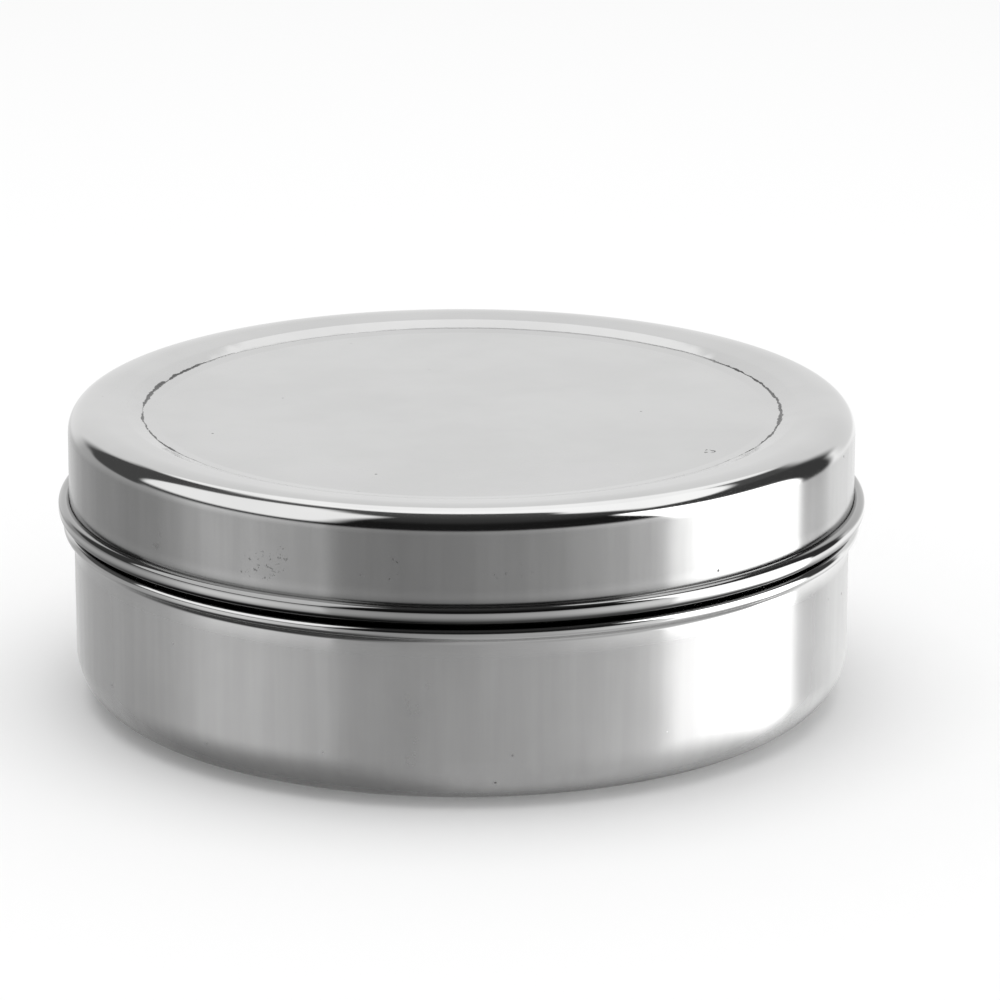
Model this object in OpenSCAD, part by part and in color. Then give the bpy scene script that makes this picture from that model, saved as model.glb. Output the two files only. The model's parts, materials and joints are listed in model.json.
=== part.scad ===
// Masala dabba: a round stainless steel spice box with a slip-on lid, an inner plate lid
// with a knob, seven cups and a small round-bowled spoon.
// Millimetres. The origin is the centre of the base on the table, and +Z points up.
//
// Every pressed piece is a sheet of even thickness. Its section is one line of arcs and
// straights through the middle of the sheet, drawn from the axis outwards, and sheet_outline()
// thickens that line. A point of a section is [distance from the axis, height].

/* [Box] */
// Height of the closed box
box_h = 70; // [66:0.5:74]
// Outer radius of the box wall
box_r = 91.4; // [86:0.2:96]
// Thickness of the box and lid sheet
box_t = 0.6; // [0.5:0.05:0.8]
// Radius of the round corner between the wall and the base, outside
base_corner_r = 12.6; // [8:0.2:14]
// Height of the middle of the bead pressed out of the box wall
bead_z = 42.2; // [41:0.1:42.4]
// How far the bead stands out of the wall
bead_out = 2.5; // [2:0.1:2.8]
// Half the height of the wall that the bead takes up
bead_half_h = 3.1; // [2.9:0.1:3.3]
// Outer radius of the crest of the bead
bead_crest_r = 1.45; // [1.2:0.05:1.6]

/* [Lid] */
// Gap between the lid and the neck of the box, all round
lid_gap = 0.45; // [0.3:0.05:0.6]
// Outer radius of the shoulder of the lid
shoulder_r = 5.2; // [4.4:0.1:6.5]
// Height of the lower edge of the lid
lid_edge_z = 44.8; // [44.7:0.1:45.6]
// Width of the rolled bead at the lid's edge
curl_w = 3.15; // [2.8:0.05:3.4]
// Distance from the box wall in to the edge of the dish in the lid's top
dish_in = 12.4; // [11:0.2:14]
// Width of the dish's slope, down to the fine crease around the flat panel
dish_w = 4; // [3:0.1:6]
// Depth of the flat panel below the highest ring of the lid
panel_drop = 2.1; // [1.6:0.1:2.4]

/* [Cups] */
// Distance from the middle of the centre cup to the middle of each other cup
cup_pitch = 60; // [59:0.25:60.5]
// Outer radius of a cup over its rolled rim
cup_rim_r = 28.95; // [26:0.05:29]
// Height of a cup
cup_h = 44; // [38:0.5:44.5]
// Thickness of the cup sheet
cup_t = 0.5; // [0.4:0.05:0.6]
// Outer radius of the round corner at the foot of a cup
cup_corner_r = 8; // [6:0.5:9]

/* [Inner plate and knob] */
// Outer radius of the inner plate
plate_r = 89.4; // [88.5:0.1:89.8]
// Height of the plate's turned-up edge
plate_lip_h = 3.4; // [2.5:0.1:4.5]
// Radius of the knob's head
knob_r = 9; // [7:0.5:11]
// Height of the knob
knob_h = 13.5; // [11:0.5:15]

/* [Spoon] */
// Length of the spoon
spoon_l = 116; // [100:1:125]
// Outer radius of the spoon's round bowl
spoon_bowl_r = 14; // [12:0.5:15]
// Depth of the spoon's bowl
spoon_depth = 6; // [5:0.5:7]
// Thickness of the spoon
spoon_t = 1; // [0.8:0.1:1.4]

/* [Hidden] */
OUTER_CUPS = 6;
$fn = 128;

ARC_STEPS = 7;      // straight pieces in each arc of a section
rest_gap = 0.05;    // air between stacked pieces
stop_gap = 0.3;     // air between the box rim and the shoulder of the lid, which rests on it

// ---- Box, at the middle of its sheet
wall_mid_r = box_r - box_t / 2;
base_mid_z = box_t / 2;
foot_in_r = 72.5;       // inner edge of the flat ring that the box stands on
foot_rise = 0.8;        // how far the base inside that ring is pressed up
foot_step_r = 1;        // radius of the two soft bends of that step
// the bead is a hollow bend, a crest and a second hollow bend, each turning by bead_turn
bead_turn = 2 * atan(bead_out / bead_half_h);
bead_crest_mid_r = bead_crest_r - box_t / 2;
bead_hollow_mid_r = bead_half_h / sin(bead_turn) - bead_crest_mid_r;

// ---- Lid, at the middle of its sheet
lid_r = box_r + lid_gap + box_t;
lid_mid_r = lid_r - box_t / 2;
curl_mid_r = (curl_w - box_t) / 2;
curl_axis_r = lid_mid_r + curl_mid_r;
curl_flat = 0.9;        // straight stretch on the outer face of the rolled bead
curl_end = 120;         // where the rolled edge stops, short of the wall
curl_low_z = lid_edge_z + curl_w / 2;
shoulder_mid_r = shoulder_r - box_t / 2;
shoulder_turn = 78;     // share of the shoulder's quarter turn on the small radius
crown_mid_r = 15;       // larger radius that eases the shoulder over the highest ring
ring_slope = 6;         // slope of the top from that ring in to the dish
crease_w = 0.25;        // width and height of the small step at the crease
crease_h = 0.12;
panel_edge_w = 3;       // faint slope between the crease and the flat of the panel
panel_edge_h = 0.35;
dish_r = box_r - dish_in;
crease_r = dish_r - dish_w;
top_mid_z = box_h - box_t / 2;
panel_mid_z = top_mid_z - panel_drop;
crown_axis_z = top_mid_z - crown_mid_r;
shoulder_axis_r = lid_mid_r - shoulder_mid_r;
crown_axis_r = shoulder_axis_r - (crown_mid_r - shoulder_mid_r) * cos(shoulder_turn);
shoulder_z = crown_axis_z + (crown_mid_r - shoulder_mid_r) * sin(shoulder_turn);
dish_z = crown_axis_z + crown_mid_r * cos(ring_slope)
    - (crown_axis_r - crown_mid_r * sin(ring_slope) - dish_r) * tan(ring_slope);
// the rim of the box stops just under the inside of that shoulder
rim_z = shoulder_z + sqrt(max(0,
    pow(shoulder_mid_r - box_t / 2 - stop_gap, 2) - pow(box_r - shoulder_axis_r, 2)));

// ---- Cups
cup_z = box_t + foot_rise + rest_gap;
cup_curl_mid_r = 0.7;
cup_wall_mid_r = cup_rim_r - cup_t / 2 - 2 * cup_curl_mid_r;
cup_taper = 0.8;        // how much narrower the wall is at the foot
cup_curl_end = -100;

// ---- Inner plate, knob, washer and screw
plate_z = cup_z + cup_h + rest_gap;
plate_mid_z = plate_z + box_t / 2;
plate_lip_r = 1.6;
boss_r = 14;            // raised middle of the plate, which clears the screw's head
boss_rise = 1;
boss_bend_r = 1;
boss_top_z = plate_z + box_t + boss_rise;
screw_r = 1.95;
screw_hole_r = 2.2;
screw_head_r = 3.6;
screw_head_h = 2;
screw_slot_w = 0.9;
screw_depth = 8;        // how far the screw goes up into the knob
knob_bore_r = 2;
knob_foot_r = 5.2;
knob_neck_r = 3.6;
knob_head_z = 7.6;      // height of the underside of the knob's head
washer_r = 6;
washer_t = 0.6;
washer_z = boss_top_z - box_t - washer_t;

// ---- Spoon, which lies on the plate in front of the knob
spoon_y = -33;
spoon_z = plate_z + box_t + rest_gap;
spoon_neck_w = 5;
spoon_end_w = 9.5;
spoon_handle_l = spoon_l - 2 * spoon_bowl_r + 1.5;
spoon_bowl_x = spoon_l / 2 - spoon_bowl_r;
// radius of the ball whose cap is the bowl
spoon_ball_r = (spoon_bowl_r * spoon_bowl_r + spoon_depth * spoon_depth) / (2 * spoon_depth);

steel = [0.80, 0.80, 0.79];
bright_steel = [0.86, 0.86, 0.86];
dull_steel = [0.62, 0.62, 0.61];

// Points on an arc around c, from one angle to another
function arc(c, r, from, to, steps = ARC_STEPS) =
    [for (i = [0:steps]) let (a = from + (to - from) * i / steps) c + r * [cos(a), sin(a)]];

// The same points without those that repeat the one before
function distinct(path) =
    [for (i = [0:len(path) - 1]) if (i == 0 || norm(path[i] - path[i - 1]) > 0.001) path[i]];

function direction(a, b) = (b - a) / norm(b - a);

// The points of a line moved sideways by d, mitred at its bends
function side(path, d) =
    [for (i = [0:len(path) - 1])
        let (
            last = len(path) - 1,
            before = i == 0 ? direction(path[0], path[1]) : direction(path[i - 1], path[i]),
            after = i == last ? before : direction(path[i], path[i + 1]),
            along = direction([0, 0], before + after),
            mitre = d / (before * along)
        )
        path[i] + mitre * [-along[1], along[0]]];

function reversed(list) = [for (i = [len(list) - 1:-1:0]) list[i]];

// The outline of a sheet of thickness t whose middle follows the line
function sheet_outline(path, t) =
    let (line = distinct(path)) concat(side(line, t / 2), reversed(side(line, -t / 2)));

// A soft step in a sheet that runs outwards: from height z0 at radius r to z1, through two bends
function soft_step(r, z0, z1, bend) =
    let (
        up = z1 > z0 ? 1 : -1,
        turn = acos(1 - abs(z1 - z0) / (2 * bend)),
        far = r + 2 * bend * sin(turn)
    )
    concat(
        arc([r, z0 + up * bend], bend, -up * 90, -up * (90 - turn), 4),
        arc([far, z1 - up * bend], bend, up * (90 + turn), up * 90, 4)
    );

module sheet_metal(path, t) {
    rotate_extrude() polygon(sheet_outline(path, t));
}

// Section of the box: raised base, foot ring, round corner, wall, bead and neck
function box_path() =
    let (
        corner = base_corner_r - box_t / 2,
        crest = [wall_mid_r + bead_out - bead_crest_mid_r, bead_z],
        hollow_r = wall_mid_r + bead_hollow_mid_r
    )
    concat(
        [[0, base_mid_z + foot_rise]],
        soft_step(foot_in_r - 1.6, base_mid_z + foot_rise, base_mid_z, foot_step_r),
        arc([wall_mid_r - corner, base_mid_z + corner], corner, -90, 0, 12),
        arc([hollow_r, bead_z - bead_half_h], bead_hollow_mid_r, 180, 180 - bead_turn, 6),
        arc(crest, bead_crest_mid_r, -bead_turn, bead_turn, 12),
        arc([hollow_r, bead_z + bead_half_h], bead_hollow_mid_r, bead_turn - 180, -180, 6),
        [[wall_mid_r, rim_z]]
    );

// Section of the lid: flat panel, crease, dish, highest ring, shoulder, wall and rolled bead
function lid_path() =
    concat(
        [
            [0, panel_mid_z],
            [crease_r - panel_edge_w, panel_mid_z],
            [crease_r, panel_mid_z + panel_edge_h],
            [crease_r + crease_w, panel_mid_z + panel_edge_h + crease_h],
            [dish_r, dish_z]
        ],
        arc([crown_axis_r, crown_axis_z], crown_mid_r, 90 + ring_slope, shoulder_turn, 6),
        arc([shoulder_axis_r, shoulder_z], shoulder_mid_r, shoulder_turn, 0, 10),
        arc([curl_axis_r, curl_low_z], curl_mid_r, 180, 360, 12),
        arc([curl_axis_r, curl_low_z + curl_flat], curl_mid_r, 0, curl_end, 8)
    );

// Section of a cup, standing on its own base
function cup_path() =
    let (
        mid_corner = cup_corner_r - cup_t / 2,
        rim = [cup_wall_mid_r + cup_curl_mid_r, cup_h - cup_t / 2 - cup_curl_mid_r]
    )
    concat(
        [[0, cup_t / 2]],
        arc([cup_wall_mid_r - cup_taper - mid_corner, cup_t / 2 + mid_corner], mid_corner, -90, 0, 8),
        arc(rim, cup_curl_mid_r, 180, cup_curl_end, 14)
    );

// Section of the inner plate, from the screw hole outwards
function plate_path() =
    concat(
        [[screw_hole_r, plate_mid_z + boss_rise]],
        soft_step(boss_r - 2, plate_mid_z + boss_rise, plate_mid_z, boss_bend_r),
        arc([plate_r - box_t / 2 - plate_lip_r, plate_mid_z + plate_lip_r], plate_lip_r, -90, 0, 6),
        [[plate_r - box_t / 2, plate_z + plate_lip_h]]
    );

module box_body() {
    color(steel) sheet_metal(box_path(), box_t);
}

module lid() {
    color(bright_steel) sheet_metal(lid_path(), box_t);
}

module cup(x, y) {
    color(bright_steel) translate([x, y, cup_z]) sheet_metal(cup_path(), cup_t);
}

module inner_plate() {
    color(steel) sheet_metal(plate_path(), box_t);
}

// Turned knob: foot, waist and domed head, with a blind hole for its screw
module knob() {
    head_r = knob_h - knob_head_z;
    color(bright_steel) translate([0, 0, boss_top_z]) difference() {
        rotate_extrude() polygon(concat(
            [[0, 0], [knob_foot_r, 0], [knob_foot_r, 0.8]],
            arc([knob_foot_r + 0.6, 2.4], 1.7, 250, 190, 4),
            arc([knob_neck_r + 2, knob_head_z - 2], 2, 180, 90, 5),
            arc([knob_r - 0.8, knob_head_z + 0.8], 0.8, -90, 20, 5),
            arc([knob_r - head_r, knob_head_z], head_r, 35, 90, 8),
            [[0, knob_h]]
        ));
        translate([0, 0, -1]) cylinder(r = knob_bore_r, h = screw_depth + 1);
    }
}

module knob_washer() {
    color(dull_steel) translate([0, 0, washer_z]) difference() {
        cylinder(r = washer_r, h = washer_t);
        translate([0, 0, -1]) cylinder(r = screw_hole_r, h = washer_t + 2);
    }
}

// Slotted pan-head screw, up through the washer and the plate into the knob
module knob_screw() {
    shank_l = boss_top_z - washer_z + screw_depth - 0.5;
    color(dull_steel) translate([0, 0, washer_z]) difference() {
        union() {
            cylinder(r = screw_r, h = shank_l);
            translate([0, 0, -screw_head_h]) rotate_extrude() polygon(concat(
                [[0, 0]],
                arc([screw_head_r - 1.4, 1.4], 1.4, -90, 0, 6),
                [[screw_head_r, screw_head_h], [0, screw_head_h]]
            ));
        }
        translate([-screw_head_r - 1, -screw_slot_w / 2, -screw_head_h - 1])
            cube([2 * screw_head_r + 2, screw_slot_w, 2]);
    }
}

// Handle seen from above: narrow at the bowl, widening to a round end
module spoon_handle_plan() {
    end_x = -spoon_l / 2 + spoon_end_w / 2;
    neck_x = end_x - spoon_end_w / 2 + spoon_handle_l;
    circle(r = spoon_end_w / 2, $fn = 48);
    polygon([
        [0, -spoon_end_w / 2], [neck_x - end_x, -spoon_neck_w / 2],
        [neck_x - end_x, spoon_neck_w / 2], [0, spoon_end_w / 2]
    ]);
}

// Handle seen from the side: it leaves the bowl's rim, arches and comes down to its end
module spoon_handle_side() {
    rim_z = spoon_depth - spoon_t / 2;
    end_x = -spoon_l / 2 - 1;
    neck_x = end_x + 1 + spoon_handle_l;
    span = neck_x - end_x;
    line = [for (i = [0:16]) let (u = i / 16)
        [end_x + span * u, spoon_t / 2 + (rim_z - spoon_t / 2) * u + 3.2 * sin(180 * u)]];
    polygon(sheet_outline(line, spoon_t));
}

module spoon() {
    end_x = -spoon_l / 2 + spoon_end_w / 2;
    color(bright_steel) translate([0, spoon_y, spoon_z]) {
        intersection() {
            translate([end_x, 0, -1]) linear_extrude(spoon_depth + 8) spoon_handle_plan();
            translate([0, spoon_end_w, 0]) rotate([90, 0, 0])
                linear_extrude(2 * spoon_end_w) spoon_handle_side();
        }
        translate([spoon_bowl_x, 0, 0]) intersection() {
            translate([0, 0, spoon_ball_r]) difference() {
                sphere(r = spoon_ball_r);
                sphere(r = spoon_ball_r - spoon_t);
            }
            cylinder(r = spoon_bowl_r + 1, h = spoon_depth);
        }
    }
}

box_body();
lid();
inner_plate();
knob();
knob_washer();
knob_screw();
spoon();
cup(0, 0);  // cup_centre
for (i = [1:OUTER_CUPS])
    cup(cup_pitch * cos(60 * i - 60), cup_pitch * sin(60 * i - 60));
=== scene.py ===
"""A closed masala dabba: a round box of pressed stainless steel, with its cups, plate and spoon.

Every pressed piece is a sheet that follows one line of arcs and straights, turned about an
upright axis. Lengths are in metres; a profile point is (distance from the axis, height).
"""

import json

import bpy
import numpy as np
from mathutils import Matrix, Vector


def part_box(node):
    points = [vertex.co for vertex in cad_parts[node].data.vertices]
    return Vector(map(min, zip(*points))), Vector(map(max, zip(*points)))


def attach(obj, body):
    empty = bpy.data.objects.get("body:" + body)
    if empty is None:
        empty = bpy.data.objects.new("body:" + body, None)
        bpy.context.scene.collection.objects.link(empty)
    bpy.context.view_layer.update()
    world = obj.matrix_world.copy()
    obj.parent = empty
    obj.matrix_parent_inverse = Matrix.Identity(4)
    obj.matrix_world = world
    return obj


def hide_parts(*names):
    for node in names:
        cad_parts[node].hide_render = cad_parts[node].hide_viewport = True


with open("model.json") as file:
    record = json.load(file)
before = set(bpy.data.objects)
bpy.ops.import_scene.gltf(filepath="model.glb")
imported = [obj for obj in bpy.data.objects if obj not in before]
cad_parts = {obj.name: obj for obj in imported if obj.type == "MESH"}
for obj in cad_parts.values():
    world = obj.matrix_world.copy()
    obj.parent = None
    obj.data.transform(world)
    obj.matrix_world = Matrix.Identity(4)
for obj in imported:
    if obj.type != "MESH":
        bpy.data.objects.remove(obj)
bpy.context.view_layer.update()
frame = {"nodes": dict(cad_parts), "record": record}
MM = 0.001

# ---------------------------------------------------------------- sizes, from the frame
lid_low, lid_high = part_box("lid")
body_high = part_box("box_body")[1]
plate_low, plate_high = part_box("inner_plate")
knob_low, knob_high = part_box("knob")
spoon_low, spoon_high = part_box("spoon")

SHEET = 0.6 * MM            # thickness of the box, lid and plate
CUP_SHEET = 0.5 * MM
HALF = SHEET / 2
BOX_H = lid_high.z          # crest of the closed lid
LID_EDGE_Z = lid_low.z
CURL_W = 3.15 * MM          # rolled bead at the lid's edge, outside
CURL_R = (CURL_W - SHEET) / 2
LID_R = lid_high.x - CURL_W + SHEET     # outer face of the lid's wall
BEAD_OUT = 2.5 * MM
BEAD_HALF_H = 3.1 * MM
BEAD_CREST_R = 1.45 * MM
BODY_R = body_high.x - BEAD_OUT         # outer face of the box's wall
BEAD_Z = 42.2 * MM
DISH_R = 79 * MM            # edge of the dish in the lid's top
CREASE_R = 75 * MM          # fine crease where the dish meets the flat panel
TOP_FADE = (66 * MM, 67 * MM)           # heights where the lid's wall gives way to its top
AROUND = 348                # steps around a large piece
AROUND_CUP = 160
AROUND_KNOB = 128


# ---------------------------------------------------------------- lines and sheets
def arc(centre, radius, start, end, steps=12):
    """Points on a circle: the centre plus the radius times (cos a, sin a), a in degrees."""
    a = np.radians(np.linspace(start, end, steps + 1))
    return np.column_stack((centre[0] + radius * np.cos(a), centre[1] + radius * np.sin(a)))


def joined(*parts, gap=3.5 * MM):
    """One line through all the parts, with no repeated point and no step longer than gap.

    Each stretch is cut into equal steps by walking along the line's own length."""
    line = np.vstack([np.atleast_2d(part) for part in parts])
    keep = np.append(True, np.hypot(*np.diff(line, axis=0).T) > 1e-6)
    line = line[keep]
    length = np.append(0, np.cumsum(np.hypot(*np.diff(line, axis=0).T)))
    cuts = [np.linspace(a, b, max(2, int(np.ceil((b - a) / gap)) + 1))[:-1]
            for a, b in zip(length[:-1], length[1:])]
    walk = np.append(np.concatenate(cuts), length[-1])
    return np.column_stack([np.interp(walk, length, line[:, k]) for k in (0, 1)])


def left_of(line):
    """Unit normals on the left of the line, from the mean direction of the steps at a point."""
    step = np.diff(line, axis=0)
    step /= np.hypot(*step.T)[:, None]
    along = np.vstack((step[:1], step[:-1] + step[1:], step[-1:]))
    along /= np.hypot(*along.T)[:, None]
    return np.column_stack((-along[:, 1], along[:, 0]))


def rounded_end(point, normal, radius, steps=6):
    """Half a circle around the end of a sheet, from its left face round to its right face."""
    a = np.linspace(0, np.pi, steps + 1)[1:-1, None]
    ahead = np.array((normal[1], -normal[0]))
    return point + radius * (np.cos(a) * normal + np.sin(a) * ahead)


def sheet_outline(line, thickness):
    """Both faces of a sheet around its middle line: left face, rounded edge, right face back.

    A line that starts off the axis also gets a rounded edge at its start."""
    normal = left_of(line)
    half = thickness / 2
    parts = [line + half * normal, rounded_end(line[-1], normal[-1], half),
             (line - half * normal)[::-1]]
    if line[0, 0] > 1e-6:
        parts.append(rounded_end(line[0], -normal[0], half))
    return np.vstack(parts)


def turned(name, outline, around=AROUND, centre=(0, 0), satin=None, warp=None):
    """A turned piece: outline point (r, z) at angle a is (r cos a, r sin a, z) from its centre.

    An outline that meets the axis ends in two poles there, and any other closes on itself.
    satin(r, z) gives each vertex its share of brushed finish, and warp(xyz) bends the metal."""
    area = np.sum(outline[:, 0] * np.roll(outline[:, 1], -1)
                  - np.roll(outline[:, 0], -1) * outline[:, 1])
    if area < 0:
        outline = outline[::-1]
    on_axis = outline[:, 0] < 1e-6
    if on_axis.any():
        first = np.flatnonzero(on_axis & ~np.roll(on_axis, -1))[0]
        outline = np.roll(outline, -first, axis=0)
        on_axis = outline[:, 0] < 1e-6
    poles, rings = outline[on_axis], outline[~on_axis]
    count = len(rings)
    a = np.linspace(0, 2 * np.pi, around, endpoint=False) - np.pi / 2
    r, z = rings[:, :1], rings[:, 1:]
    grid = np.stack((r * np.cos(a), r * np.sin(a), z + 0 * a), axis=-1).reshape(-1, 3)
    points = np.vstack((grid, [(0, 0, pole[1]) for pole in poles])) if len(poles) else grid
    index = np.arange(count * around).reshape(count, around)
    beside = np.roll(index, -1, axis=1)
    if len(poles):
        faces = np.stack((index[:-1], beside[:-1], beside[1:], index[1:]), -1).reshape(-1, 4)
        base = count * around
        start = np.stack((np.full(around, base), beside[0], index[0]), -1)
        end = np.stack((np.full(around, base + 1), index[-1], beside[-1]), -1)
        faces = faces.tolist() + start.tolist() + end.tolist()
    else:
        below, below_beside = np.roll(index, -1, axis=0), np.roll(beside, -1, axis=0)
        faces = np.stack((index, beside, below_beside, below), -1).reshape(-1, 4).tolist()
    profile = np.vstack((np.repeat(rings, around, axis=0), poles)) if len(poles) \
        else np.repeat(rings, around, axis=0)
    if warp:
        points = warp(points)
    return piece(name, points + (*centre, 0), faces, satin(*profile.T) if satin else None)


def piece(name, points, faces, satin=None):
    """A mesh object at the origin with smooth faces and its share of satin on each vertex."""
    mesh = bpy.data.meshes.new(name)
    mesh.from_pydata(points, [], faces)
    mesh.polygons.foreach_set("use_smooth", np.ones(len(mesh.polygons), bool))
    share = mesh.attributes.new("satin", "FLOAT", "POINT")
    values = np.zeros(len(mesh.vertices), np.float32)
    if satin is not None:
        values[:] = satin
    share.data.foreach_set("value", values)
    obj = bpy.data.objects.new(name, mesh)
    bpy.context.scene.collection.objects.link(obj)
    return obj


def ramp(x, low, high):
    """0 below low, 1 above high, and an even S between them."""
    t = np.clip((x - low) / (high - low), 0, 1)
    return t * t * (3 - 2 * t)


# ---------------------------------------------------------------- box and lid
def soft_step(r, z0, z1, bend):
    """A small step in a sheet that runs outwards: two equal bends that turn away and back."""
    up = 1 if z1 > z0 else -1
    turn = np.degrees(np.arccos(1 - abs(z1 - z0) / (2 * bend)))
    far = r + 2 * bend * np.sin(np.radians(turn))
    return np.vstack((arc((r, z0 + up * bend), bend, -up * 90, -up * (90 - turn), 6),
                      arc((far, z1 - up * bend), bend, up * (90 + turn), up * 90, 6)))


def body_line():
    """Middle line of the box: raised base, foot ring, round corner, wall, bead and neck."""
    wall, corner, foot_in, base_rise = BODY_R - HALF, 12.3 * MM, 70.9 * MM, 0.8 * MM
    turn = 2 * np.degrees(np.arctan(BEAD_OUT / BEAD_HALF_H))
    crest_r = BEAD_CREST_R - HALF
    hollow_r = BEAD_HALF_H / np.sin(np.radians(turn)) - crest_r
    hollow = wall + hollow_r
    return joined(
        (0, HALF + base_rise),
        soft_step(foot_in, HALF + base_rise, HALF, 1 * MM),
        arc((wall - corner, HALF + corner), corner, -90, 0, 40),
        arc((hollow, BEAD_Z - BEAD_HALF_H), hollow_r, 180, 180 - turn, 14),
        arc((wall + BEAD_OUT - crest_r, BEAD_Z), crest_r, -turn, turn, 22),
        arc((hollow, BEAD_Z + BEAD_HALF_H), hollow_r, turn - 180, -180, 14),
        (wall, body_high.z - HALF))


def lid_line():
    """Middle line of the lid: panel, crease, dish, highest ring, shoulder, wall and rolled edge.

    The shoulder's small arc runs on into a larger one, which carries the sheet over the highest
    ring and 6 degrees down again; a straight slope then goes in to the edge of the dish."""
    wall, top = LID_R - HALF, BOX_H - HALF
    shoulder_r, shoulder_turn, crown_r, fall = 4.9 * MM, 78, 15 * MM, 6
    panel_z, panel_bend = top - 2.1 * MM, 9 * MM
    axis = wall - shoulder_r
    away = np.array((np.cos(np.radians(shoulder_turn)), np.sin(np.radians(shoulder_turn))))
    crown = np.array((axis - (crown_r - shoulder_r) * away[0], top - crown_r))
    shoulder = crown + (crown_r - shoulder_r) * away
    over = arc(crown, crown_r, 90 + fall, shoulder_turn, 14)
    dish_z = over[0, 1] - (over[0, 0] - DISH_R) * np.tan(np.radians(fall))
    crease = np.array((CREASE_R + 0.25 * MM, panel_z + 0.47 * MM))
    rise = (dish_z - crease[1]) / (DISH_R - crease[0])
    curl = np.array((wall + CURL_R, LID_EDGE_Z + CURL_W / 2))
    return joined(
        (0, panel_z),
        arc((CREASE_R - 3.5 * MM, panel_z + panel_bend), panel_bend, -90, -83.3, 6),
        crease + ((-0.62 * MM, -0.155 * MM), (-0.30 * MM, -0.118 * MM), (-0.12 * MM, -0.125 * MM),
                  (0, 0), (0.25 * MM, 0.25 * MM * rise)),
        (DISH_R - 0.4 * MM, dish_z - 0.4 * MM * rise),
        (DISH_R, dish_z - 0.02 * MM),
        (DISH_R + 0.4 * MM, dish_z + 0.4 * MM * np.tan(np.radians(fall))),
        over,
        arc(shoulder, shoulder_r, shoulder_turn, 0, 30),
        arc(curl, CURL_R, 180, 360, 26),
        arc(curl + (0, 0.9 * MM), CURL_R, 0, 120, 16))


def wall_satin(r, z):
    """1 on the wall and round corner of the box, 0 on its base and from the bead up."""
    return ramp(z, 0.6 * MM, 3.5 * MM) * ramp(-z, -39 * MM, -38 * MM)


def lid_satin(r, z):
    """1 on the straight wall of the lid, 0 on its rolled edge, shoulder and top."""
    return ramp(z, 48.5 * MM, 50 * MM) * ramp(-z, -66.4 * MM, -64.6 * MM)


def waves(a, rows):
    """Sum of size * sin(count * a + phase) over rows of (count, size, phase): a closed ripple."""
    return sum(size * np.sin(count * a + phase) for count, size, phase in rows)


def press_box(points):
    """The box's wall a little out of round: up to 0.05 mm inwards, fading out at foot and bead.

    The base inside its foot ring sinks and rises by 0.03 mm, in slow waves."""
    x, y, z = points.T
    a, r = np.arctan2(y, x), np.hypot(x, y)
    wall = ramp(z, 6 * MM, 16 * MM) * ramp(-z, -38 * MM, -30 * MM)
    ripple = waves(a + 14 * z, ((5, 0.4, 1.1), (9, 0.25, 0.3), (17, 0.2, 2.2), (29, 0.12, 4.0)))
    push = wall * 0.05 * MM * (ripple - 1)
    base = ramp(-z, -4 * MM, -2 * MM) * ramp(-r, -70 * MM, -50 * MM)
    sag = base * 0.03 * MM * (np.sin(90 * x + 1) * np.cos(70 * y) + np.sin(160 * y + 60 * x))
    return points + np.stack((push * np.cos(a), push * np.sin(a), sag), -1)


def press_lid(points):
    """The lid's small faults of pressing: slow waves in its wall and panel, and a ragged crease.

    Around the crease the sheet moves sideways by up to 0.2 mm and down by up to 0.06 mm."""
    x, y, z = points.T
    a, r = np.arctan2(y, x), np.hypot(x, y)
    wall = ramp(z, 48 * MM, 52 * MM) * ramp(-z, -64 * MM, -60 * MM)
    ripple = waves(a + 9 * z, ((4, 0.4, 0.4), (7, 0.3, 1.9), (13, 0.2, 3.2), (31, 0.1, 1.0)))
    push = wall * 0.04 * MM * ripple
    top = ramp(z, *TOP_FADE)
    near = top * np.exp(-((r - CREASE_R - 0.1 * MM) / (0.9 * MM))**2)
    ragged = waves(a, ((11, 0.35, 0.2), (26, 0.3, 1.4), (57, 0.25, 2.5), (97, 0.25, 0.9),
                       (141, 0.2, 3.3)))
    push = push + near * 0.12 * MM * ragged
    panel = top * ramp(-r, -72 * MM, -55 * MM)
    sag = panel * 0.035 * MM * (np.sin(75 * x + 0.6) * np.cos(60 * y + 1) - 1
                                + 0.5 * np.sin(130 * x - 90 * y))
    dip = near * 0.03 * MM * (waves(a + 1.3, ((19, 0.6, 0), (67, 0.5, 1), (118, 0.4, 2))) - 1.4)
    return points + np.stack((push * np.cos(a), push * np.sin(a), sag + dip), -1)


def make_box():
    shell = turned("box_shell", sheet_outline(body_line(), SHEET), satin=wall_satin,
                   warp=press_box)
    finish(shell, "box", "box_body", "box_steel")


def make_lid():
    shell = turned("lid_shell", sheet_outline(lid_line(), SHEET), satin=lid_satin,
                   warp=press_lid)
    finish(shell, "lid_body", "lid", "lid_steel")


# ---------------------------------------------------------------- cups, plate, knob, spoon
def cup_line(height, rim_r):
    """Middle line of a cup: flat base, round corner, flared wall and rolled rim."""
    half, corner, curl, flare = CUP_SHEET / 2, 7.75 * MM, 0.7 * MM, 0.8 * MM
    wall = rim_r - half - 2 * curl
    return joined(
        (0, half),
        arc((wall - flare - corner, half + corner), corner, -90, 0, 20),
        arc((wall + curl, height - half - curl), curl, 180, -100, 22))


def make_cups():
    for name in sorted(node for node in frame["nodes"] if node.startswith("cup_")):
        low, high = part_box(name)
        middle = (low + high) / 2
        height, rim_r = high.z - low.z, (high.x - low.x) / 2
        line = cup_line(height, rim_r) + (0, low.z)
        cup = turned(name + "_shell", sheet_outline(line, CUP_SHEET), AROUND_CUP, middle.xy,
                     satin=lambda r, z: ramp(-z, -42.5 * MM, -40 * MM))
        body = next(b for b, nodes in frame["record"]["behaviour"]["bodies"].items()
                    if name in nodes)
        finish(cup, body, name, "cup_steel")


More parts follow.
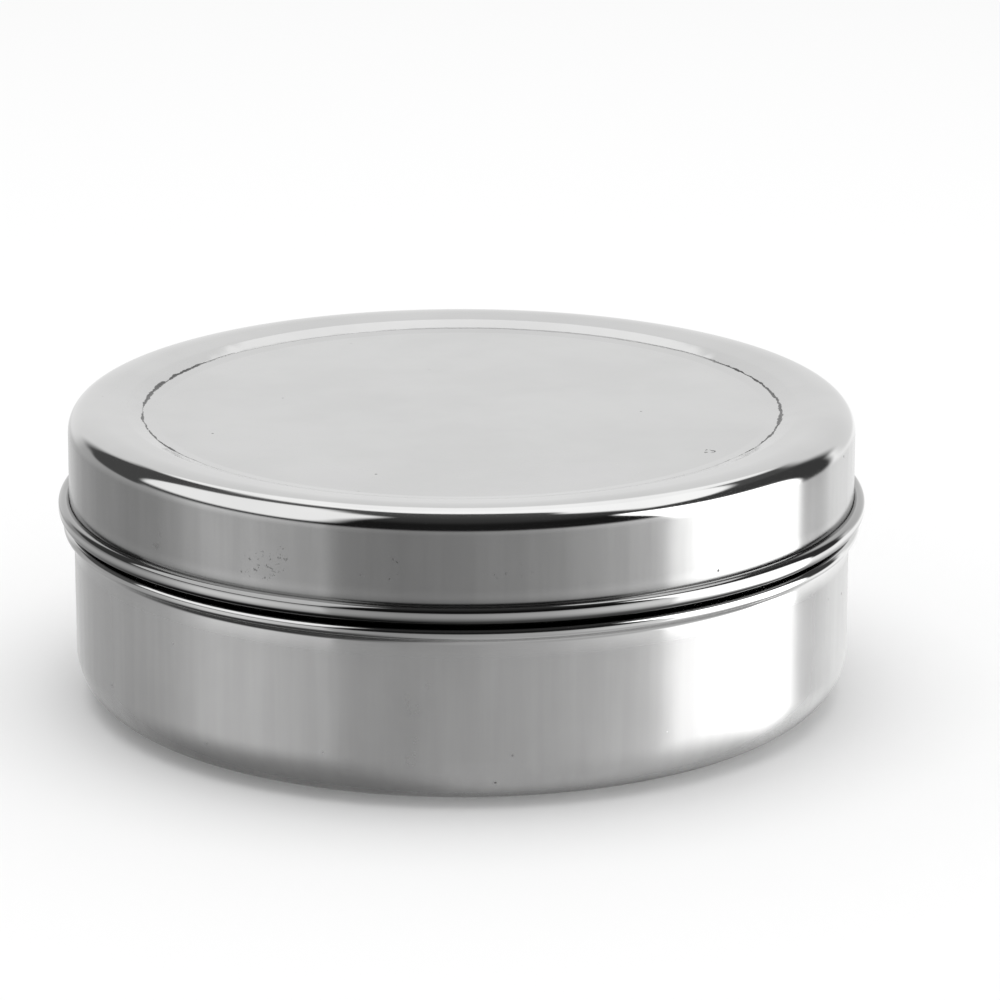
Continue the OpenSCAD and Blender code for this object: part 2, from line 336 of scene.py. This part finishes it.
def make_plate():
    """Inner plate: raised boss with the screw's hole, flat disc and turned-up lip."""
    z, edge = plate_low.z + HALF, plate_high.x - HALF
    hole_r, boss_r, boss_h, lip = 2.2 * MM, 12 * MM, 1 * MM, 1.6 * MM
    line = joined((hole_r + HALF, z + boss_h),
                  soft_step(boss_r, z + boss_h, z, 1 * MM),
                  arc((edge - lip, z + lip), lip, -90, 0, 12),
                  (edge, plate_high.z - HALF))
    plate = turned("inner_plate_shell", sheet_outline(line, SHEET),
                   satin=lambda r, z: np.ones_like(r))
    finish(plate, "plate", "inner_plate", "plate_steel")


def make_knob():
    """Turned knob: foot, waist and domed head, hollow where its screw goes in."""
    height, head_z = knob_high.z - knob_low.z, 7.6 * MM
    head_r = height - head_z
    rim_r = knob_high.x
    bore_r, bore_top = 2 * MM, 8 * MM
    outline = np.vstack((
        [(0, bore_top), (bore_r, bore_top), (bore_r, 0.2 * MM), (bore_r + 0.2 * MM, 0)],
        arc((5 * MM, 0.2 * MM), 0.2 * MM, -90, 0, 4),
        arc((5 * MM, 0.6 * MM), 0.2 * MM, 0, 90, 4),
        arc((5.8 * MM, 2.4 * MM), 1.7 * MM, 250, 190, 12),
        arc((5.6 * MM, head_z - 2 * MM), 2 * MM, 180, 90, 14),
        arc((rim_r - 0.8 * MM, head_z + 0.8 * MM), 0.8 * MM, -90, 20, 12),
        arc((rim_r - head_r, head_z), head_r, 35, 90, 24),
        [(0, height)])) + (0, knob_low.z)
    knob = turned("knob_turned", outline, AROUND_KNOB)
    finish(knob, "plate", "knob", "knob_steel")


def make_spoon():
    """Pressed spoon: a round dished bowl and a handle that narrows to it, with a soft arch.

    The middle surface is z(x, y); a stadium-shaped section of it is carried along x."""
    half = 0.5 * MM
    middle_y = (spoon_low.y + spoon_high.y) / 2
    bowl_r, depth = (spoon_high.y - spoon_low.y) / 2, 6 * MM
    bowl_x = spoon_high.x - bowl_r
    end_r, neck_half = 4.75 * MM, 2.5 * MM
    end_x = spoon_low.x + end_r
    neck_x = bowl_x - np.sqrt(bowl_r**2 - neck_half**2)
    ends, tip = np.linspace(0, np.pi / 2, 24), np.linspace(np.arcsin(0.9), np.pi / 2, 20)
    x = np.concatenate((end_x - end_r * np.cos(ends[1:]),
                        np.linspace(end_x, neck_x, 60)[1:],
                        bowl_x - np.linspace(bowl_x - neck_x, -bowl_r * 0.9, 70)[1:],
                        bowl_x + bowl_r * np.sin(tip[1:-1])))
    round_end = np.sqrt(np.clip(end_r**2 - (x - end_x)**2, 0, None))
    taper = np.interp(x, (end_x, neck_x), (end_r, neck_half))
    bowl = np.sqrt(np.clip(bowl_r**2 - (x - bowl_x)**2, 0, None))
    width = np.where(x < end_x, round_end, np.where(x < neck_x, taper, bowl))
    width = np.maximum(width, half * 1.02)
    flat = width - half
    top = np.linspace(-1, 1, 25)
    turn = np.radians(np.linspace(90, -90, 7))[1:-1]
    across = np.concatenate((top, 1 + 0 * turn, -top, -1 + 0 * turn))
    bulge = np.concatenate((0 * top, np.cos(turn), 0 * top, -np.cos(turn)))
    lift = np.concatenate((1 + 0 * top, np.sin(turn), -1 + 0 * top, -np.sin(turn)))
    y = flat[:, None] * across + half * bulge
    along = np.clip((x - spoon_low.x) / (neck_x - spoon_low.x), 0, 1)
    rim = depth - half
    spine = half + (rim - half) * along + 3.2 * MM * np.sin(np.pi * along)
    reach = np.clip(np.hypot(x[:, None] - bowl_x, y) / bowl_r, 0, 1)
    dish = rim - (depth - 2 * half) * (1 - reach**2)
    in_bowl = ramp(x, neck_x - 1 * MM, neck_x + 3 * MM)[:, None]
    z = spine[:, None] * (1 - in_bowl) + dish * in_bowl + half * lift
    grid = np.stack((x[:, None] + 0 * y, y + middle_y, z + spoon_low.z), -1)
    rows, columns = grid.shape[:2]
    index = np.arange(rows * columns).reshape(rows, columns)
    beside = np.roll(index, -1, axis=1)
    faces = np.stack((index[:-1], beside[:-1], beside[1:], index[1:]), -1).reshape(-1, 4)
    faces = faces.tolist() + [index[0].tolist()[::-1], index[-1].tolist()]
    spoon = piece("spoon_pressed", grid.reshape(-1, 3), faces)
    finish(spoon, "spoon_body", "spoon", "spoon_steel")


# ---------------------------------------------------------------- finishes
def add(tree, kind, *values, out=0, **settings):
    """A new shader node with its settings and its inputs, in order; None leaves one as it is."""
    node = tree.nodes.new("ShaderNode" + kind)
    for key, value in settings.items():
        setattr(node, key, value)
    for socket, value in zip(node.inputs, values):
        if isinstance(value, bpy.types.NodeSocket):
            tree.links.new(value, socket)
        elif value is not None:
            socket.default_value = value
    return node.outputs[out]


def times(tree, a, b):
    return add(tree, "Math", a, b, operation="MULTIPLY")


def plus(tree, a, b):
    return add(tree, "Math", a, b, operation="ADD")


def between(tree, value, low, high, start=0.0, end=1.0):
    """start below low, end above high, and an even S between them."""
    return add(tree, "MapRange", value, low, high, start, end, interpolation_type="SMOOTHSTEP")


def noise(tree, vector, scale, detail=2.0, rough=0.5):
    return add(tree, "TexNoise", vector, None, scale, detail, rough)


def mark(tree, place, middle, size, density, scale):
    """1 in the ragged spots of a small stain: noise over a level, fading out from its middle."""
    away = add(tree, "VectorMath", place, middle, operation="SUBTRACT")
    away = add(tree, "VectorMath", away, [1 / side for side in size], operation="MULTIPLY")
    reach = add(tree, "VectorMath", away, operation="LENGTH", out=1)
    fade = between(tree, reach, 0.5, 1.0, density, 0.0)
    level = plus(tree, noise(tree, place, scale, 3.0, 0.6), fade)
    return between(tree, level, 0.98, 1.08)


def crease_painted_shade(tree, place, radius, height):
    """Painted shade in the lid's crease: a dark line of changing width, from 0.06 to 0.8 mm.

    It wanders 0.2 mm to each side, and is strong at the left and right and faint at the rear."""
    wander = between(tree, noise(tree, place, 260, 3.0, 0.6), 0.3, 0.7, -0.2 * MM, 0.2 * MM)
    width = between(tree, noise(tree, place, 75, 5.0, 0.75), 0.36, 0.66, 0.06 * MM, 0.8 * MM)
    off = add(tree, "Math", radius, CREASE_R - 0.05 * MM, operation="SUBTRACT")
    off = add(tree, "Math", off, wander, operation="SUBTRACT")
    off = add(tree, "Math", off, operation="ABSOLUTE")
    line = between(tree, add(tree, "Math", off, width, operation="DIVIDE"), 0.5, 1.0, 1.0, 0.0)
    sides = add(tree, "Math", add(tree, "SeparateXYZ", place), operation="ABSOLUTE")
    sides = between(tree, sides, 54 * MM, 68 * MM)
    rear = between(tree, add(tree, "SeparateXYZ", place, out=1), 10 * MM, 50 * MM, 0.0, 0.2)
    crease_shade_strength = add(tree, "Math", sides, rear, operation="MAXIMUM")
    return times(tree, times(tree, line, crease_shade_strength), between(tree, height, *TOP_FADE))


def seam_shade(tree, height):
    """Painted shade at the rolled edge: a tone factor, darker just above the roll and under it."""
    above = times(tree, between(tree, height, 47.3 * MM, 47.9 * MM),
                  between(tree, height, 48.2 * MM, 51 * MM, 1.0, 0.0))
    under = between(tree, height, 45.5 * MM, 47.0 * MM, 0.1, 1.0)
    return times(tree, under, add(tree, "MapRange", above, 0.0, 1.0, 1.0, 0.55))


def lid_top(tree, radius, height):
    """1 on the lid's panel and ring, which are worn a little matt, and 0 on its shoulder."""
    return times(tree, between(tree, height, *TOP_FADE),
                 between(tree, radius, 83 * MM, 87 * MM, 1.0, 0.0))


def steel(name, grey, polished, satin, dim=1.0, haze=0.0, specks=0.0, lid=False, marks=()):
    """Stainless steel: a mirror where the satin share is 0 and a finely brushed satin at 1.

    Polishing runs around the piece, so it spreads a reflection up and down and keeps it
    narrow sideways: the anisotropy is turned a quarter from the ring direction. Fine rings
    follow (r, z), upright wipe streaks are noise stretched along z, and blotches and specks of
    dried water lie over both. The satin's mirror is darker by dim, and haze is how much of it
    scatters light evenly. The lid also has a matt top and painted shade: a dark line in its
    crease, and a darker tone just above its rolled edge and under it."""
    material = bpy.data.materials.new(name)
    material.use_nodes = True
    tree = material.node_tree
    shader = tree.nodes["Principled BSDF"]
    place = add(tree, "TexCoord", out=3)
    share = add(tree, "Attribute", attribute_name="satin", out=2)
    across = add(tree, "VectorMath", place, (1, 1, 0), operation="MULTIPLY")
    radius = add(tree, "VectorMath", across, operation="LENGTH", out=1)
    height = add(tree, "SeparateXYZ", place, out=2)
    rings = noise(tree, add(tree, "CombineXYZ", radius, 0.0, height), 1900, 3.0, 0.6)
    upright = add(tree, "VectorMath", place, (1, 1, 0.05), operation="MULTIPLY")
    streaks = noise(tree, upright, 230, 4.0, 0.6)
    blotches = noise(tree, place, 38, 3.0, 0.55)
    film = between(tree, noise(tree, place, 95, 4.0, 0.62), 0.45, 0.80)

    wear = times(tree, between(tree, streaks, 0.25, 0.75, -1.0, 1.0), share)
    tone = plus(tree, between(tree, blotches, 0.3, 0.7, grey * 0.97, grey * 1.025),
                times(tree, wear, -0.028))
    tone = plus(tree, tone, times(tree, film, -0.012))
    tone = times(tree, tone, add(tree, "MapRange", share, 0.0, 1.0, 1.0, dim))
    dirt_and_crease_shade = None
    if specks:
        cell = tree.nodes.new("ShaderNodeTexVoronoi")
        tree.links.new(place, cell.inputs["Vector"])
        cell.inputs["Scale"].default_value = 260
        chosen = between(tree, add(tree, "SeparateXYZ", cell.outputs["Color"]), 0.955, 0.96)
        dirt_and_crease_shade = times(tree, between(tree, cell.outputs["Distance"], 0.05, 0.12, specks, 0.0),
                     chosen)
    for middle, size, density, scale, depth in marks:
        spot = times(tree, mark(tree, place, middle, size, density, scale), depth)
        dirt_and_crease_shade = spot if dirt_and_crease_shade is None else add(tree, "Math", dirt_and_crease_shade, spot, operation="MAXIMUM")
    if lid:
        # Painted shade: a dark, rougher line along the lid's crease, strongest at the left and
        # right.
        line = crease_painted_shade(tree, place, radius, height)
        dirt_and_crease_shade = line if dirt_and_crease_shade is None else add(tree, "Math", dirt_and_crease_shade, line, operation="MAXIMUM")
        top = lid_top(tree, radius, height)
        # Painted shade: the lid's tone is darkened just above its rolled edge and under it.
        tone = times(tree, tone, seam_shade(tree, height))
        tone = times(tree, tone, add(tree, "MapRange", top, 0.0, 1.0, 1.0, 0.91))
    # Darkens the tone under the real specks and dried drops, and along the crease as painted
    # shade.
    if dirt_and_crease_shade is not None:
        tone = times(tree, tone, between(tree, dirt_and_crease_shade, 0.0, 1.0, 1.0, 0.22))
    colour = add(tree, "CombineXYZ", tone, tone, times(tree, tone, 0.995))
    tree.links.new(colour, shader.inputs["Base Color"])

    rough = add(tree, "MapRange", share, 0.0, 1.0, polished, satin)
    rough = plus(tree, rough, times(tree, wear, 0.006))
    rough = plus(tree, rough, times(tree, film, 0.012))
    if dirt_and_crease_shade is not None:
        rough = plus(tree, rough, times(tree, dirt_and_crease_shade, 0.4))
    tree.links.new(rough, shader.inputs["Roughness"])
    shader.inputs["Metallic"].default_value = 1
    if haze:
        mirror = add(tree, "MapRange", share, 0.0, 1.0, 1.0, 1.0 - haze)
        if lid:
            mirror = times(tree, mirror, add(tree, "MapRange", top, 0.0, 1.0, 1.0, 0.62))
        tree.links.new(mirror, shader.inputs["Metallic"])
    shader.inputs["Anisotropic"].default_value = 0.95
    shader.inputs["Anisotropic Rotation"].default_value = 0.25
    relief = tree.nodes.new("ShaderNodeBump")
    relief.inputs["Strength"].default_value = 0.5
    relief.inputs["Distance"].default_value = 0.002 * MM
    tree.links.new(rings, relief.inputs["Height"])
    tree.links.new(relief.outputs["Normal"], shader.inputs["Normal"])
    return material


def finish(obj, body, node, slot):
    """Puts the piece's steel on it and sets it on its body in place of its plain node."""
    obj.data.materials.append(steels[slot])
    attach(obj, body)
    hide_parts(node)


# ---------------------------------------------------------------- studio
def make_camera():
    """A long lens 17 degrees above the table, aimed at half the box's height."""
    elevation, distance, lens = np.radians(16.83), 1.375, 209.1
    data = bpy.data.cameras.new("camera")
    data.lens = lens
    data.sensor_width = 36
    data.shift_x = 0.0384
    data.shift_y = 0.0444
    data.clip_end = 20
    camera = bpy.data.objects.new("camera", data)
    target = Vector((0, 0, BOX_H / 2))
    camera.location = target + distance * Vector((0, -np.cos(elevation), np.sin(elevation)))
    camera.rotation_euler = (target - camera.location).to_track_quat("-Z", "Y").to_euler()
    bpy.context.scene.collection.objects.link(camera)
    bpy.context.scene.camera = camera


def glow(name):
    """A light whose strength at each vertex is the piece's "level" attribute."""
    material = bpy.data.materials.new(name)
    material.use_nodes = True
    nodes, links = material.node_tree.nodes, material.node_tree.links
    nodes.remove(nodes["Principled BSDF"])
    emission = nodes.new("ShaderNodeEmission")
    level = nodes.new("ShaderNodeAttribute")
    level.attribute_name = "level"
    links.new(level.outputs["Fac"], emission.inputs["Strength"])
    links.new(emission.outputs[0], nodes["Material Output"].inputs["Surface"])
    material.cycles.emission_sampling = "NONE"
    return material


# What the polished steel mirrors. Azimuth 0 is the camera's side and 90 the right, in degrees.
# First the walls of the room at the height that an upright wall mirrors, then the ground, each
# as (azimuth, brightness) around the table.
ROOM = ((-180, 1.00), (-158, 0.74), (-145, 0.54), (-132, 0.49), (-120, 0.45), (-108, 0.44),
        (-98, 0.47), (-90, 0.58), (-77, 0.85), (-61, 0.84), (-46, 0.71), (-39, 0.69),
        (-36.5, 0.46), (-30, 0.42), (-17, 0.37), (0, 0.40), (24, 0.53), (39, 0.72), (50, 0.88),
        (60, 1.00), (63, 1.75), (70, 1.95), (78, 2.20), (94, 2.15), (112, 1.80), (118, 1.30),
        (134, 1.30), (150, 1.15), (180, 1.00))
GROUND = ((-180, 0.20), (-132, 0.05), (-77, 0.05), (-45, 0.10), (-17, 0.38), (0, 0.46),
          (39, 0.50), (70, 0.62), (98, 0.62), (130, 0.30), (180, 0.22))
# Then the shapes painted over them: each is a rounded rectangle, with its middle azimuth and
# elevation, half width and half height, brightness and the softness of its edge, and how far
# it leans: azimuth per degree up, and elevation per degree to the right.
SHAPES = (
    ("back_wall", 176, 15, 40, 21, 0.93, 0.15, 0, 0),
    ("back_softbox", 142, 62, 68, 14, 1.45, 0.12, 0, 0),
    ("back_softbox_foot", 178, 46, 27, 11, 1.35, 0.15, 0, 0),
    ("left_softbox", -80, 46, 41, 26, 1.28, 0.14, 0, 0),
    ("left_flag", -127, 27, 16, 20, 0.085, 0.12, -0.5, 0),
    ("right_flag", 96, 20, 35, 28, 0.06, 0.10, 0, -0.2),
    ("right_softbox", 85, 5, 25, 28, 3.2, 0.08, -0.2, -0.5),
    ("table_behind", 180, -42, 25, 20, 0.2, 0.15, 0, 0),
)


def around_table(azimuth, rows):
    """Brightness at an azimuth: a straight run between the rows, closed at 180 degrees."""
    at, level = np.array(rows).T
    return np.interp(azimuth, at, level, period=360)


def surround_level(azimuth, elevation):
    """Brightness of the studio in a direction: ground, walls, a dark ceiling, then the shapes.

    A shape covers where (|da| / width)^6 + (|de| / height)^6 is under 1, with a soft edge."""
    ground, room = around_table(azimuth, GROUND), around_table(azimuth, ROOM)
    level = ground + (room - ground) * ramp(elevation, -46, -23)
    behind = ramp(-np.cos(np.radians(azimuth)) * np.cos(np.radians(elevation)), -0.6, 0.5)
    ceiling = 0.014 + 0.03 * ramp(elevation, 40, 60) + 0.08 * behind
    level = level + (ceiling - level) * ramp(elevation, 7, 16)
    for _, middle_a, middle_e, half_a, half_e, brightness, soft, lean, tilt in SHAPES:
        da = (azimuth - middle_a + 180) % 360 - 180
        de = elevation - middle_e
        da, de = np.abs(da - lean * de) / half_a, np.abs(de - tilt * da) / half_e
        cover = ramp(-(da**6 + de**6) ** (1 / 6), -1 - soft, -1 + soft)
        level = level * (1 - cover) + brightness * cover
    return level


def make_surround(radius=4):
    """A ball around the table that only the steel sees, lit by surround_level."""
    a, e = np.meshgrid(np.arange(-180, 180, 1.0), np.linspace(-89.5, 89.5, 180))
    ra, re = np.radians(a), np.radians(e)
    points = radius * np.stack((np.sin(ra) * np.cos(re), -np.cos(ra) * np.cos(re), np.sin(re)), -1)
    index = np.arange(a.size).reshape(a.shape)
    beside = np.roll(index, -1, axis=1)
    faces = np.stack((index[:-1], beside[:-1], beside[1:], index[1:]), -1).reshape(-1, 4)
    ball = piece("surround", points.reshape(-1, 3), faces.tolist())
    level = ball.data.attributes.new("level", "FLOAT", "POINT")
    level.data.foreach_set("value", surround_level(a, e).astype(np.float32).ravel())
    ball.data.materials.append(glow("surround_glow"))
    for ray in ("camera", "diffuse", "transmission", "shadow"):
        setattr(ball, "visible_" + ray, False)


def make_studio():
    floor = piece("floor", [(-9, -9, 0), (9, -9, 0), (9, 9, 0), (-9, 9, 0)], [(0, 1, 2, 3)])
    paper = bpy.data.materials.new("floor")
    paper.use_nodes = True
    shader = paper.node_tree.nodes["Principled BSDF"]
    shader.inputs["Base Color"].default_value = (0.9, 0.9, 0.9, 1)
    shader.inputs["Roughness"].default_value = 0.9
    shader.inputs["Specular IOR Level"].default_value = 0
    floor.data.materials.append(paper)
    floor.visible_glossy = False

    world = bpy.data.worlds.new("studio")
    world.use_nodes = True
    world.node_tree.nodes["Background"].inputs["Color"].default_value = (1, 1, 1, 1)
    world.node_tree.nodes["Background"].inputs["Strength"].default_value = 0.75
    bpy.context.scene.world = world
    world.cycles_visibility.glossy = False

    overhead = bpy.data.lights.new("overhead", "AREA")
    overhead.shape = "DISK"
    overhead.size = 2.2
    overhead.energy = 20
    lamp = bpy.data.objects.new("overhead", overhead)
    lamp.location = (0, 0, 2)
    lamp.visible_glossy = False
    bpy.context.scene.collection.objects.link(lamp)


# ---------------------------------------------------------------- assembly
LID_MARKS = (               # dried drops: middle, reach, density of spots, scale and depth
    ((-45.5 * MM, -80.5 * MM, 54.5 * MM), (10 * MM, 10 * MM, 6.0 * MM), 0.405, 1000, 0.45),
    ((-40.5 * MM, -83.0 * MM, 56.5 * MM), (4 * MM, 4 * MM, 7.0 * MM), 0.40, 1100, 0.4),
    ((-68.7 * MM, -61.9 * MM, 55.0 * MM), (2.5 * MM, 2.5 * MM, 5.0 * MM), 0.46, 420, 0.22),
    ((-18.4 * MM, -90.6 * MM, 57.0 * MM), (16 * MM, 4 * MM, 5.0 * MM), 0.36, 1100, 0.35),
    ((9.0 * MM, -92.0 * MM, 57.0 * MM), (14 * MM, 4 * MM, 5.0 * MM), 0.36, 1200, 0.35),
    ((56.7 * MM, -35.0 * MM, 68.0 * MM), (2.6 * MM, 2.6 * MM, 3.0 * MM), 0.48, 800, 0.9),
    ((-30.0 * MM, -18.0 * MM, 68.0 * MM), (26 * MM, 6 * MM, 3.0 * MM), 0.36, 160, 0.06),
)
steels = {
    "box_steel": steel("box_steel", 0.64, 0.08, 0.26, dim=0.84, haze=0.31, specks=0.7),
    "lid_steel": steel("lid_steel", 0.62, 0.06, 0.19, dim=0.68, haze=0.04, specks=0.8, lid=True,
                       marks=LID_MARKS),
    "plate_steel": steel("plate_steel", 0.60, 0.10, 0.24, specks=0.5),
    "cup_steel": steel("cup_steel", 0.62, 0.08, 0.22, specks=0.5),
    "knob_steel": steel("knob_steel", 0.66, 0.07, 0.2),
    "screw_steel": steel("screw_steel", 0.50, 0.28, 0.3, specks=0.6),
    "spoon_steel": steel("spoon_steel", 0.66, 0.10, 0.2, specks=0.4),
}
make_camera()
make_studio()
make_surround()
make_box()
make_lid()
make_cups()
make_plate()
make_knob()
make_spoon()
for small in ("knob_screw", "knob_washer"):
    frame["nodes"][small].data.materials.clear()
    frame["nodes"][small].data.materials.append(steels["screw_steel"])

bpy.context.scene.view_settings.view_transform = "Standard"
